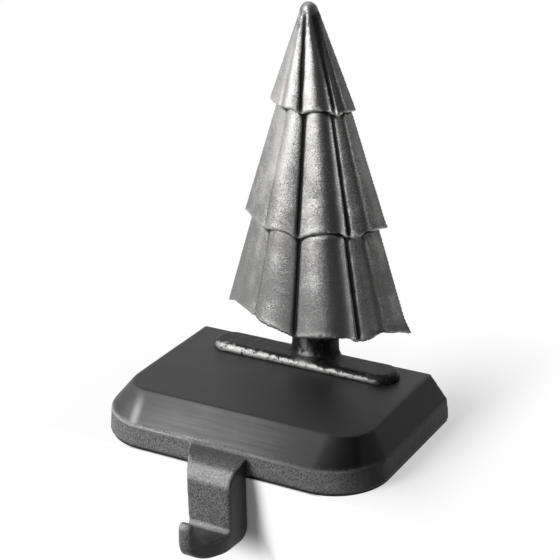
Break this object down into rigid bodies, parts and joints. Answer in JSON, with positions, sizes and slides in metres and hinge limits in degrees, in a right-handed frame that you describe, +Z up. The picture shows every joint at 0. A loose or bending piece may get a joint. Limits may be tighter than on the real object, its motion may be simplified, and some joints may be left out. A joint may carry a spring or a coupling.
{
  "type": "stocking holder",
  "caption": "Cast mantel stocking holder: a heavy chamfered base block with a hook hanging over the shelf edge and a flat-backed pleated tree standing on top.",
  "frame": {"origin": "middle of the base's footprint, on the shelf that it stands on", "axes": "+X along the shelf to the right, +Y towards the wall, +Z up"},
  "size_m": [0.12, 0.1078, 0.1878],
  "materials": {
    "base_iron": "dark gunmetal, satin",
    "tree_aluminium": "antiqued, rubbed",
    "screw_steel": "plain",
    "pad_rubber": "matte"
  },
  "bodies": {
    "root": {"base_casting": "base_iron", "tree_casting": "tree_aluminium", "fixing_screws": "screw_steel", "base_pad": "pad_rubber"}
  },
  "joints": []
}
